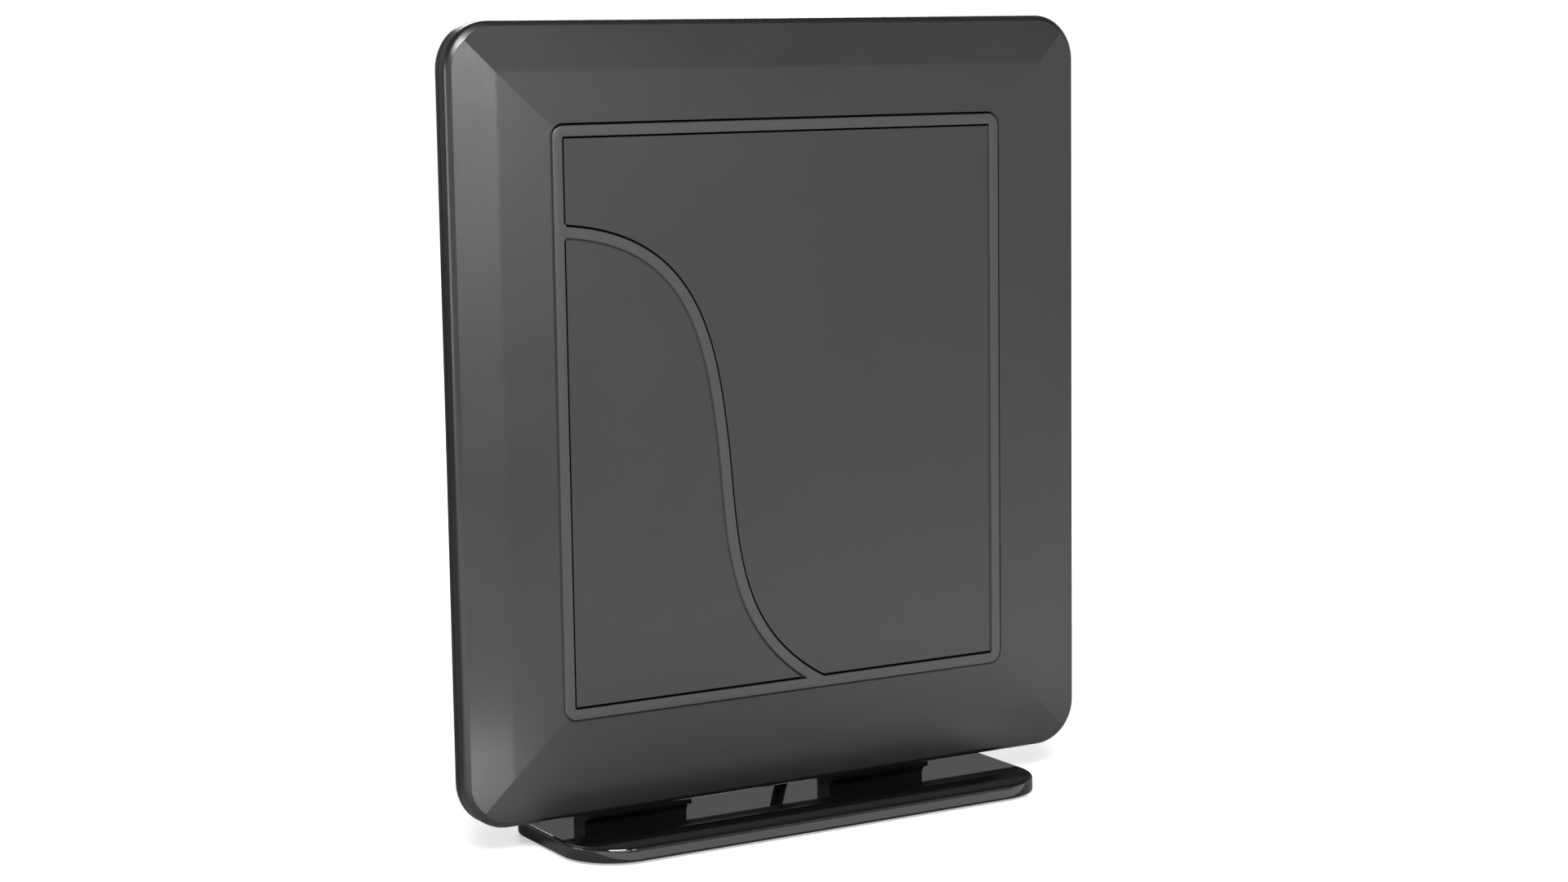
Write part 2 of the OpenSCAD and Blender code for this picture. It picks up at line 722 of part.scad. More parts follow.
// Side view of the bracket: a flared foot, a leg that leans to the panel and a pad against it
module bracket_profile() {
  translate([flange_front_y, 0]) square([flange_rear_y - flange_front_y, bracket_wall]);
  polygon([
    [leg_front_y, 0], [leg_rear_y, 0], [leg_rear_y, knee_h],
    [back_y + bracket_wall, bracket_h], [back_y, bracket_h],
    [back_y, pad_low_h], [leg_front_y, knee_h]
  ]);
  translate([flange_front_y, bracket_wall]) difference() {
    square(flare_r + eps);
    translate([0, flare_r]) circle(flare_r);
  }
}

// Side view of one pocket between the ribs, open to the rear
module pocket_profile() {
  wall = bracket_wall;
  polygon([
    [leg_front_y + wall, wall], [leg_rear_y + cut_l, wall], [leg_rear_y + cut_l, bracket_h - wall],
    [back_y + wall, bracket_h - wall], [back_y + wall, pad_low_h + 0.6],
    [leg_front_y + wall, knee_h + 0.6]
  ]);
}

// Extrudes a side view across the bracket's width
module across(w) {
  translate([-w / 2, 0, 0]) rotate([90, 0, 90]) linear_extrude(w) children();
}

module bracket(side) {
  color(panel_grey) translate([side * bracket_x, 0, base_top_z]) {
    difference() {
      union() {
        difference() {
          across(bracket_w) bracket_profile();
          for (i = [-1, 0, 1]) translate([i * rib_pitch, 0, 0]) across(pocket_w) pocket_profile();
        }
        for (i = [-1, 1]) translate([i * rib_pitch, foot_screw_y, 0])
          cylinder(h = foot_boss_h, d = boss_d);
      }
      for (i = [-1, 1]) translate([i * rib_pitch, foot_screw_y, -1])
        cylinder(h = foot_thread_d + 2.5, d = screw_d);
      for (dx = [-1, 1]) for (h = bracket_screw_h)
        translate([dx * bracket_screw_gap, back_y - 1, h]) rotate([-90, 0, 0])
          cylinder(h = bracket_wall + 2, d = screw_d + 2 * fit);
    }
  }
}

module bracket_left() {
  bracket(-1);
}

module bracket_right() {
  bracket(1);
}

module bracket_screws() {
  color(metal) for (sx = [-1, 1]) for (dx = [-1, 1]) for (h = bracket_screw_h)
    translate([sx * bracket_x + dx * bracket_screw_gap, back_y + bracket_wall + head_h, base_top_z + h])
      rotate([90, 0, 0]) screw(bracket_wall + bracket_thread_d);
}

foot_screw_spots = [
  for (sx = [-1, 1]) for (i = [-1, 1]) [sx * bracket_x + i * rib_pitch, foot_screw_y]
];
pan_screw_spots = [for (sx = [-1, 1]) for (sy = [-1, 1]) [sx * pan_screw_x, sy * pan_screw_y]];

module base_cover() {
  inner_r = base_corner_r - base_wall;
  color(gloss_black) difference() {
    union() {
      difference() {
        translate([0, 0, base_low_z]) rounded_slab(base_w, base_d, base_corner_r, base_h, base_edge_r);
        translate([0, 0, base_low_z - 1]) linear_extrude(base_ceiling_z - base_low_z + 1)
          rounded_rect(base_w - 2 * base_wall, base_d - 2 * base_wall, inner_r);
      }
      at_spots(pan_screw_spots) translate([0, 0, pan_top_z])
        cylinder(h = base_ceiling_z - pan_top_z + 0.5, d = boss_d);
    }
    at_spots(pan_screw_spots) translate([0, 0, pan_top_z - 1])
      cylinder(h = base_ceiling_z - pan_top_z + 2, d = screw_d);
    at_spots(foot_screw_spots) cylinder(h = cut_l, d = screw_d + 2 * fit);
  }
}

module base_pan() {
  inset = base_wall + pan_clear;
  color(gloss_black) difference() {
    translate([0, 0, base_low_z]) linear_extrude(pan_t)
      rounded_rect(base_w - 2 * inset, base_d - 2 * inset, base_corner_r - inset);
    at_spots(pan_screw_spots) cylinder(h = cut_l, d = screw_d + 2 * fit);
    at_spots(pan_screw_spots) cylinder(h = base_low_z + head_h - 0.4, d = head_d + 2 * fit);
    for (sx = [-1, 1]) for (sy = [-1, 1]) translate([sx * foot_x, sy * foot_y, 0])
      cylinder(h = base_low_z + foot_recess, d = foot_d + 2 * fit);
  }
}

module ballast_plate() {
  color(metal) difference() {
    translate([0, 0, pan_top_z]) linear_extrude(base_ceiling_z - pan_top_z)
      rounded_rect(ballast_w, ballast_d, ballast_corner_r);
    at_spots(foot_screw_spots) cylinder(h = cut_l, d = head_d + 1);
  }
}

module foot_screws() {
  color(metal) at_spots(foot_screw_spots) translate([0, 0, base_ceiling_z - head_h])
    screw(base_wall + foot_thread_d);
}

module pan_screws() {
  color(metal) at_spots(pan_screw_spots) translate([0, 0, base_low_z - 0.4]) screw(pan_screw_l);
}

module rubber_foot(sx, sy) {
  color("#222222") translate([sx * foot_x, sy * foot_y, 0]) {
    cylinder(h = base_low_z + foot_recess, d = foot_d);
  }
}

module foot_front_left() {
  rubber_foot(-1, -1);
}

module foot_front_right() {
  rubber_foot(1, -1);
}

module foot_rear_left() {
  rubber_foot(-1, 1);
}

module foot_rear_right() {
  rubber_foot(1, 1);
}

// Screw-on plug: a hexagon shell over the barrel and a round sleeve behind it, opening upwards
module plug_form() {
  difference() {
    union() {
      translate([0, 0, plug_l - plug_shell_l]) hex_prism(hex_af, plug_shell_l);
      cylinder(h = plug_l - plug_shell_l, d = hex_af - 1.6);
    }
    translate([0, 0, plug_l - plug_shell_l + plug_floor])
      cylinder(h = plug_shell_l, d = barrel_d + 2 * fit);
  }
}

// Tapered strain relief from the sleeve down to the lead
module boot_form() {
  cylinder(h = boot_l, d1 = lead_d + 0.8, d2 = hex_af - 2);
}

module lead_plug() {
  color(metal) translate([0, socket_y, plug_low_z]) plug_form();
}

module lead_boot() {
  color("#1c1c1e") translate([0, socket_y, boot_low_z]) boot_form();
}

// Frame that rides along a route: direction, and two directions across it
function route_dir(p, i) = unit(p[min(i + 1, len(p) - 1)] - p[max(i - 1, 0)]);
function route_side(d) = unit(cross(d, abs(d[2]) > 0.9 ? [0.656, 0.755, 0] : [0, 0, 1]));

// Round tube along a route of points
module tube(route, sides) {
  skinned([
    for (i = [0:len(route) - 1])
      let (d = route_dir(route, i), s = route_side(d), u = cross(d, s))
        [for (j = [0:sides - 1]) route[i] + lead_r * (cos(360 * j / sides) * s - sin(360 * j / sides) * u)]
  ]);
}

module lead_tube() {
  color("#18181a") tube(lead_route, 12);
}

module lead_coil() {
  color("#18181a") translate([coil_centre[0], coil_centre[1], 0]) rotate_extrude()
    translate([coil_mean_d / 2, coil_h / 2])
      rounded_rect(coil_out_r - coil_in_r, coil_h, lead_r - eps);
}

module coil_tie() {
  tie_angle = 360 * tie_w / (PI * coil_mean_d);
  color("#2a2a2c") translate([coil_centre[0], coil_centre[1], 0]) rotate([0, 0, 180 - tie_angle / 2])
    rotate_extrude(angle = tie_angle) translate([coil_mean_d / 2, coil_h / 2]) difference() {
      rounded_rect(coil_out_r - coil_in_r + 2 * tie_t, coil_h + 2 * tie_t, lead_r + tie_t);
      rounded_rect(coil_out_r - coil_in_r, coil_h, lead_r - eps);
      translate([-coil_out_r, -coil_h / 2 - 10]) square([2 * coil_out_r, 10]);
    }
}

module lead_tail() {
  color("#18181a") tube(tail_route, 12);
}

module far_boot() {
  color("#1c1c1e") translate(far_plug_start) rotate([0, -90, 0]) boot_form();
}

module far_plug() {
  color(metal) translate(far_plug_start - [boot_l, 0, 0]) rotate([0, -90, 0]) rotate([0, 0, 30])
    plug_form();
}

front_cover();
rear_cover();
hub_cover();
hub_screws();
element_sheet();
uhf_element_left();
uhf_element_right();
vhf_loop();
balun_board();
balun_shield();
feed_pins();
balun_screws();
signal_wire();
cover_screws();
sheet_screws();
socket_body();
socket_insulator();
socket_washer();
socket_nut();
bracket_left();
bracket_right();
bracket_screws();
base_cover();
base_pan();
ballast_plate();
foot_screws();
pan_screws();
foot_front_left();
foot_front_right();
foot_rear_left();
foot_rear_right();
lead_plug();
lead_boot();
lead_tube();
lead_coil();
coil_tie();
lead_tail();
far_boot();
far_plug();
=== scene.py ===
# Indoor television antenna: a flat bevelled panel on a glossy base, with its coaxial lead coiled behind it.
import json
import math

import bpy
import numpy as np
from mathutils import Matrix


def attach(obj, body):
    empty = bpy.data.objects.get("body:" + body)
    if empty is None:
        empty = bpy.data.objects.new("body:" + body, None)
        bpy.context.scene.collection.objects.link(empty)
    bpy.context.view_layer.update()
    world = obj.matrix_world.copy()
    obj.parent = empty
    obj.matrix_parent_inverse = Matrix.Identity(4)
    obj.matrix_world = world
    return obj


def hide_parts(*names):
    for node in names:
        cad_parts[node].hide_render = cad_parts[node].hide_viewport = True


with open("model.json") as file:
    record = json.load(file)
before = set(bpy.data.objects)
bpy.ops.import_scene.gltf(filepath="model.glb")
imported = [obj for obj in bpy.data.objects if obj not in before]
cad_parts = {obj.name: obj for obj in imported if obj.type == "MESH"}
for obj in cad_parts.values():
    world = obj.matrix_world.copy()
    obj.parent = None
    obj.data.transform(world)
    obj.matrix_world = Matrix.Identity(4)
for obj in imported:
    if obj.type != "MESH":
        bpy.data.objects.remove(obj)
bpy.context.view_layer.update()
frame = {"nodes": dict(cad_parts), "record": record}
nodes = frame["nodes"]
mm = 0.001
crease = math.radians(40)  # edges that turn more than this stay sharp


def linearColor(hexColor):
    # sRGB hex to linear, with an alpha of 1
    parts = [int(hexColor[i:i + 2], 16) / 255 for i in (1, 3, 5)]
    return [c / 12.92 if c <= 0.04045 else ((c + 0.055) / 1.055) ** 2.4 for c in parts] + [1.0]


def addNode(tree, kind, settings=None, links=None):
    # one node: settings name its properties or input sockets, links map an input socket to an output
    node = tree.nodes.new(kind)
    for key, value in (settings or {}).items():
        if isinstance(key, str) and hasattr(node, key):
            setattr(node, key, value)
        else:
            node.inputs[key].default_value = value
    for key, output in (links or {}).items():
        tree.links.new(output, node.inputs[key])
    return node


def startMaterial(name):
    material = bpy.data.materials.new(name)
    material.use_nodes = True
    tree = material.node_tree
    tree.nodes.clear()
    return material, tree


def closeMaterial(tree, shader):
    addNode(tree, "ShaderNodeOutputMaterial", links={"Surface": shader.outputs[0]})


def addPiece(name, points, faces, material, smooth=True):
    # points in millimetres; faces as index rows that run clockwise seen from outside, so each is turned round
    mesh = bpy.data.meshes.new(name)
    mesh.from_pydata((np.asarray(points, float) * mm).tolist(), [], [list(map(int, f))[::-1] for f in faces])
    mesh.validate()
    mesh.polygons.foreach_set("use_smooth", np.full(len(mesh.polygons), smooth))
    mesh.materials.append(material)
    mesh.update()
    piece = bpy.data.objects.new(name, mesh)
    bpy.context.scene.collection.objects.link(piece)
    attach(piece, "root")
    return piece


cameraView = {
    "lens": 68.34,  # mm on a 36 mm sensor
    "place": (-0.78797, -1.34768, 0.40693),
    "right": (0.86085868, -0.50865154, -0.01400000),
    "up": (0.07866476, 0.10585148, 0.99126551),
    "back": (-0.50272681, -0.85444080, 0.13113611),
}


def setCamera(view):
    data = bpy.data.cameras.new("camera")
    data.lens = view["lens"]
    data.sensor_width = 36
    data.clip_start, data.clip_end = 0.02, 60
    camera = bpy.data.objects.new("camera", data)
    bpy.context.scene.collection.objects.link(camera)
    camera.matrix_world = Matrix([
        [view["right"][i], view["up"][i], view["back"][i], view["place"][i]] for i in range(3)
    ] + [[0, 0, 0, 1]])
    bpy.context.scene.camera = camera


setCamera(cameraView)
print("camera set")


shellFinish = {
    # the paler tone is a painted highlight on the bead tops, the near-black one painted shade in their feet
    "dark": "#171718", "light": "#1e1e20", "paintedTopHighlight": "#323234", "root": "#020202",
    "grain": 0.9,  # mm; real grit is 0.1 mm, drawn coarser so that it shows
    "grainDepth": 0.07, "cloud": 60,  # mm
    "roughness": (0.29, 0.36), "ior": 1.54,
}


def satinShell(spec):
    # ABS moulded in a lightly spark-eroded tool: dark grey, satin, with a sheen that follows the light
    material, tree = startMaterial("mouldedSatinAbs")
    place = addNode(tree, "ShaderNodeTexCoord")
    grain = addNode(tree, "ShaderNodeTexNoise", {"Scale": 1 / (spec["grain"] * mm), "Detail": 2.0, "Roughness": 0.6},
                    {"Vector": place.outputs["Object"]})
    cloud = addNode(tree, "ShaderNodeTexNoise", {"Scale": 1 / (spec["cloud"] * mm), "Detail": 3.0},
                    {"Vector": place.outputs["Object"]})
    smooth, dull = spec["roughness"]
    rough = addNode(tree, "ShaderNodeMapRange",
                    {"From Min": 0.3, "From Max": 0.7, "To Min": smooth, "To Max": dull},
                    {"Value": cloud.outputs["Fac"]})
    tone = addNode(tree, "ShaderNodeMix", {"data_type": "RGBA"}, {"Factor": grain.outputs["Fac"]})
    tone.inputs["A"].default_value = linearColor(spec["dark"])
    tone.inputs["B"].default_value = linearColor(spec["light"])
    bump = addNode(tree, "ShaderNodeBump", {"Strength": 0.5, "Distance": spec["grainDepth"] * mm},
                   {"Height": grain.outputs["Fac"]})
    # the point attribute "root" is 1 in the foot of a bead, where shade is painted, and -1 on its top, where a paler
    # highlight is painted
    root = addNode(tree, "ShaderNodeAttribute", {"attribute_name": "root"})
    top = addNode(tree, "ShaderNodeMapRange", {"From Min": 0.0, "From Max": -1.0}, {"Value": root.outputs["Fac"]})
    paintedTopHighlight = addNode(tree, "ShaderNodeMix", {"data_type": "RGBA"}, {"Factor": top.outputs["Result"]})
    tree.links.new(tone.outputs["Result"], paintedTopHighlight.inputs["A"])
    paintedTopHighlight.inputs["B"].default_value = linearColor(spec["paintedTopHighlight"])
    shaded = addNode(tree, "ShaderNodeMix", {"data_type": "RGBA"}, {"Factor": root.outputs["Fac"]})
    tree.links.new(paintedTopHighlight.outputs["Result"], shaded.inputs["A"])
    shaded.inputs["B"].default_value = linearColor(spec["root"])
    matt = addNode(tree, "ShaderNodeMath", {"operation": "MAXIMUM"},
                   {0: rough.outputs["Result"], 1: root.outputs["Fac"]})
    # the painted shade in the root is black metal, which has no sheen, as the unlit foot of the step has none
    unlit = addNode(tree, "ShaderNodeMath", {"operation": "MAXIMUM", 1: 0.0}, {0: root.outputs["Fac"]})
    shader = addNode(tree, "ShaderNodeBsdfPrincipled", {"IOR": spec["ior"], "Specular IOR Level": 1.0},
                     {"Base Color": shaded.outputs["Result"], "Roughness": matt.outputs[0],
                      "Metallic": unlit.outputs[0], "Normal": bump.outputs["Normal"]})
    closeMaterial(tree, shader)
    return material


def polishedBlack():
    # ABS from a mirror-polished tool: near black, mirrors what stands on it, with faint wiping haze
    material, tree = startMaterial("polishedBlackAbs")
    place = addNode(tree, "ShaderNodeTexCoord")
    wipe = addNode(tree, "ShaderNodeTexNoise", {"Scale": 1 / (35 * mm), "Detail": 4.0},
                   {"Vector": place.outputs["Object"]})
    rough = addNode(tree, "ShaderNodeMapRange",
                    {"From Min": 0.35, "From Max": 0.7, "To Min": 0.015, "To Max": 0.05},
                    {"Value": wipe.outputs["Fac"]})
    shader = addNode(tree, "ShaderNodeBsdfPrincipled",
                     {"IOR": 1.54, "Specular IOR Level": 1.0, "Base Color": linearColor("#111112")},
                     {"Roughness": rough.outputs["Result"]})
    closeMaterial(tree, shader)
    return material


def plainFinish(name, dark, light, grainSize, roughness, bumpDepth, metallic=0.0, ior=1.5):
    # a mottled finish: two close tones, a grain size in mm and a bump depth in mm
    material, tree = startMaterial(name)
    place = addNode(tree, "ShaderNodeTexCoord")
    grain = addNode(tree, "ShaderNodeTexNoise", {"Scale": 1 / (grainSize * mm), "Detail": 3.0},
                    {"Vector": place.outputs["Object"]})
    tone = addNode(tree, "ShaderNodeMix", {"data_type": "RGBA"}, {"Factor": grain.outputs["Fac"]})
    tone.inputs["A"].default_value = linearColor(dark)
    tone.inputs["B"].default_value = linearColor(light)
    rough = addNode(tree, "ShaderNodeMapRange",
                    {"From Min": 0.3, "From Max": 0.7, "To Min": roughness * 0.88, "To Max": roughness * 1.12},
                    {"Value": grain.outputs["Fac"]})
    bump = addNode(tree, "ShaderNodeBump", {"Strength": 0.3, "Distance": bumpDepth * mm},
                   {"Height": grain.outputs["Fac"]})
    shader = addNode(tree, "ShaderNodeBsdfPrincipled", {"Metallic": metallic, "IOR": ior},
                     {"Base Color": tone.outputs["Result"], "Roughness": rough.outputs["Result"],
                      "Normal": bump.outputs["Normal"]})
    closeMaterial(tree, shader)
    return material


finishes = {
    "panel_shell": satinShell(shellFinish),
    "base_gloss": polishedBlack(),
    # moulded ABS like the shell, darker and a little coarser
    "bracket_black": plainFinish("mouldedBlackAbs", "#161617", "#1d1d1e", 0.9, 0.42, 0.04),
    "pan_black": plainFinish("mattBlackPan", "#161617", "#1e1e1f", 1.2, 0.55, 0.05),
    # cold-rolled plate: grey, slightly streaky
    "ballast_steel": plainFinish("coldRolledSteel", "#8a8b8d", "#a2a3a5", 2.5, 0.38, 0.03, 1.0),
    # dark zinc on steel screws
    "screw_steel": plainFinish("blackZincSteel", "#55555a", "#6c6c72", 0.8, 0.32, 0.02, 1.0),
    # bright nickel over turned brass
    "socket_nickel": plainFinish("nickelPlatedBrass", "#cfccc4", "#dcd9d2", 1.5, 0.2, 0.01, 1.0),
    # waxy white plastic inside the socket
    "insulator_white": plainFinish("whitePolyethylene", "#dcdcd6", "#e8e8e2", 2.0, 0.4, 0.02),
    # stamped sheet that carries the foil, matt from its rolls
    "sheet_white": plainFinish("whitePolystyreneSheet", "#d2d2cc", "#deded8", 3.0, 0.45, 0.02),
    # bright copper with the long marks of rolling
    "element_copper": plainFinish("rolledCopperFoil", "#b87a50", "#cc8e62", 4.0, 0.3, 0.02, 1.0),
    # glass fibre board under green lacquer
    "board_green": plainFinish("solderMaskBoard", "#1c5a32", "#24683c", 2.0, 0.35, 0.02),
    # moulded rubber: black and quite matt
    "foot_rubber": plainFinish("blackRubber", "#1b1b1c", "#232324", 0.7, 0.75, 0.05),
    # extruded PVC jacket: black, smooth, half gloss
    "lead_jacket": plainFinish("blackPvcJacket", "#111112", "#171718", 1.4, 0.36, 0.03),
    # woven nylon strap
    "tie_black": plainFinish("wovenNylonStrap", "#18181a", "#27272a", 0.5, 0.8, 0.15),
}
nodeSlots = {part["node"]: part["material_slot"] for part in frame["record"]["subparts"]}
for nodeName, piece in nodes.items():
    for material in piece.material_slots:
        material.material = finishes[nodeSlots[nodeName]]
print("finishes on", len(nodes), "nodes")


shell = {
    "halfWidth": 188, "halfHeight": 203, "cornerRadius": 24,
    "rimY": -9, "middleZ": 219.2,  # the heights below are measured forwards from the rim plane
    "seam": -9.4, "edgeRadius": 4, "stripTilt": 35, "rimInset": 2.739,
    "outerWidth": 22.5, "outerRise": 2.4, "sideInnerWidth": 31.7, "endInnerWidth": 29.7, "innerRise": 1.4,
    "breakSoftness": 1.2,  # half width over which the two bevels blend
    "beadFoot": 3.15, "beadHeight": 0.8, "ringRadius": 3.85, "wall": 2.4,
    "cornerSteps": 16,
    # control points of the two arcs of the S-shaped bead, from the panel's middle
    "upperArc": [(-131.061, 98), (-52, 93), (-45, 35), (-39, -17)],
    "lowerArc": [(-39, -17), (-34, -71), (-36, -117), (19, -148.061)],
    "junctionFillet": 1.6,
    "faintPaintedShade": 0.4,  # painted shade of the bead roots that face left or down; those that face right or up have 1
}
# half of the bead's section: distance out from its middle, height, and its painted light: 1 painted shade in the
# root, -1 painted highlight on the top
beadSection = [(4.3, 0.0, 0.0), (4.0, 0.0, 0.0), (3.75, 0.005, 1.0), (3.3, 0.01, 1.0), (3.15, 0.12, 1.0),
               (2.8, 0.62, 0.85), (2.68, 0.71, -0.6), (2.52, 0.78, -1.0), (2.3, 0.8, -1.0)]


def cornerAngles(steps):
    # the angles of the points of four corner arcs, one arc after another
    return np.radians(np.concatenate([np.linspace(a, a + 90, steps + 1) for a in (0, 90, 180, 270)]))


def roundedLoop(halfW, halfH, radius, steps, inset=0.0):
    # counter-clockwise round a rounded rectangle: corner middle + (radius - inset) * (cos, sin) of the
    # corner's angles; inset may differ from point to point
    turn = cornerAngles(steps)
    signX = np.repeat([1, -1, -1, 1], steps + 1)
    signY = np.repeat([1, 1, -1, -1], steps + 1)
    return np.stack([signX * (halfW - radius) + (radius - inset) * np.cos(turn),
                     signY * (halfH - radius) + (radius - inset) * np.sin(turn)], 1)


def bevelHeight(loop, spec):
    # the lower of the two bevel profiles that meet at a point; each is two slopes blended by a parabola
    brk, soft = spec["rimInset"] + spec["outerWidth"], spec["breakSoftness"]
    heights = []
    for axis, half, inner in ((0, spec["halfWidth"], spec["sideInnerWidth"]),
                              (1, spec["halfHeight"], spec["endInnerWidth"])):
        x = half - np.abs(loop[:, axis]) - brk
        steep, flat = spec["outerRise"] / spec["outerWidth"], spec["innerRise"] / inner
        blend = (steep + flat) / 2 * x - (steep - flat) / (4 * soft) * (x ** 2 + soft ** 2)
        heights.append(np.where(x < -soft, steep * x, np.where(x > soft, flat * x, blend)))
    return spec["outerRise"] + np.minimum(*heights)


def gridFaces(rows, columns):
    # quads between neighbouring rows of a grid whose rows are closed loops
    i, j = np.meshgrid(np.arange(rows - 1), np.arange(columns), indexing="ij")
    k = (j + 1) % columns
    corners = [i * columns + j, i * columns + k, (i + 1) * columns + k, (i + 1) * columns + j]
    return np.stack(corners, -1).reshape(-1, 4)


def endCaps(rows, columns):
    # one face over the first loop of a grid and one over the last
    return [list(range(columns))[::-1], list(range((rows - 1) * columns, rows * columns))]


def standUp(points, spec):
    # panel coordinates (across, up, forwards) to the row frame
    return np.stack([points[:, 0], spec["rimY"] - points[:, 2], spec["middleZ"] + points[:, 1]], 1)


def shellLoops(spec):
    # loops from the middle of the field outwards over the relief and the side wall, then back inside
    steps, w, h, r = spec["cornerSteps"], spec["halfWidth"], spec["halfHeight"], spec["cornerRadius"]
    field = spec["outerRise"] + spec["innerRise"]
    brk = spec["rimInset"] + spec["outerWidth"]
    ringW, ringH = w - brk - spec["sideInnerWidth"], h - brk - spec["endInnerWidth"]
    loops = []

    def add(loop, height):
        loops.append(np.column_stack([loop, np.broadcast_to(height, len(loop))]))

    for out, lift in [(-o, z) for o, z, _ in beadSection] + [(o, z) for o, z, _ in beadSection[::-1]]:
        loop = roundedLoop(ringW + out, ringH + out, max(spec["ringRadius"] + out, 0.12), steps)
        ground = field if out < 0 else bevelHeight(loop, spec)
        add(loop, ground + (field + spec["beadHeight"] - ground) * lift / spec["beadHeight"])
    bevelRows = [len(loops)]
    for share in (1.25, 1, 0.5, 0, -0.5, -1, -1.25):
        away = share * spec["breakSoftness"]
        loop = roundedLoop(w - brk - away, h - brk - away, 1.0, steps)
        add(loop, bevelHeight(loop, spec))
    # the strip outside the bevel climbs higher at the corners, to where the bevels' planes cut it
    slope = math.tan(math.radians(spec["stripTilt"]))
    inset = np.full(4 * (steps + 1), spec["rimInset"])
    for _ in range(6):
        loop = roundedLoop(w, h, r, steps, inset)
        inset = spec["rimInset"] + bevelHeight(loop, spec) / slope
    for away, onBevel in ((0.35, True), (0.12, True), (-0.1, False), (-0.3, False)):
        loop = roundedLoop(w, h, r, steps, inset + away)
        add(loop, bevelHeight(loop, spec) if onBevel else (inset + away - spec["rimInset"]) * slope)
    bevelRows.append(len(loops) - 3)
    edge = spec["edgeRadius"]
    for angle in np.radians(np.linspace(90 - spec["stripTilt"], 0, 8)):
        add(roundedLoop(w, h, r, steps, edge * (1 - math.cos(angle))), edge * (math.sin(angle) - 1))
    for inset, height in ((0.0, spec["seam"] + 0.3), (0.09, spec["seam"] + 0.09), (0.3, spec["seam"]),
                          (spec["wall"], spec["seam"]), (spec["wall"], -spec["wall"])):
        add(roundedLoop(w, h, r, steps, inset), height)
    for inset, height in ((brk - 0.2, -spec["wall"]), (brk, spec["outerRise"] - spec["wall"]),
                          (w - ringW - 0.2, spec["outerRise"] - spec["wall"]), (w - ringW, field - spec["wall"])):
        add(roundedLoop(w - inset, h - inset, 2.0, steps), height)
    return np.array(loops), bevelRows


def curvedBead(spec, perArc=40):
    # the bead's section swept along two cubic arcs, wider by a fillet where its upper end meets the ring
    def arc(points, t):
        p = np.array(points, float)
        t = t[:, None]
        place = (1 - t) ** 3 * p[0] + 3 * (1 - t) ** 2 * t * p[1] + 3 * (1 - t) * t ** 2 * p[2] + t ** 3 * p[3]
        slope = (1 - t) ** 2 * (p[1] - p[0]) + 2 * (1 - t) * t * (p[2] - p[1]) + t ** 2 * (p[3] - p[2])
        return place, slope / np.linalg.norm(slope, axis=1, keepdims=True)

    start = np.array([0, 0.008, 0.0125, 0.0135, 0.0145, 0.016, 0.018, 0.02])
    upper = arc(spec["upperArc"], np.concatenate([start, np.linspace(0.03, 1, perArc, endpoint=False)]))
    lower = arc(spec["lowerArc"], np.linspace(0, 1, perArc))
    place, along = (np.vstack([a, b]) for a, b in zip(upper, lower))
    side = np.stack([along[:, 1], -along[:, 0]], 1)
    clear = place[:, 0] - (place[0, 0] + spec["beadFoot"])  # distance past the ring's foot
    fillet = spec["junctionFillet"]
    reach = np.clip(fillet - np.maximum(clear, 0), 0, fillet)
    flare = fillet - np.sqrt(fillet ** 2 - reach ** 2)
    field = spec["outerRise"] + spec["innerRise"] - 0.02
    half = np.array(beadSection[1:])
    half[:3, 1] += (0.025, 0.03, 0.03)  # the root lies just over the field
    # the bead's lower left side gets fainter painted shade in its root, as the light falls
    lower = half.copy()
    lower[:, 2] = np.where(half[:, 2] > 0, spec["faintPaintedShade"] * half[:, 2], half[:, 2])
    section = np.vstack([[half[0, 0], -0.5, 0], lower, half[::-1] * [-1, 1, 1], [-half[0, 0], -0.5, 0]])
    across = section[None, :, 0] + np.sign(section[None, :, 0]) * flare[:, None]
    points = np.stack([place[:, None, 0] + side[:, None, 0] * across,
                       place[:, None, 1] + side[:, None, 1] * across,
                       np.broadcast_to(field + section[None, :, 1], across.shape)], -1)
    rows, columns = across.shape
    faces = [*gridFaces(rows, columns), *endCaps(rows, columns)]
    return points.reshape(-1, 3), faces, np.broadcast_to(section[None, :, 2], across.shape).ravel()


def addPaintedLight(piece, shade):
    # point attribute that the shell's finish reads: 1 where shade is painted in the root of a bead, -1 where a
    # highlight is painted on its top
    piece.data.attributes.new("root", "FLOAT", "POINT").data.foreach_set("value", shade)


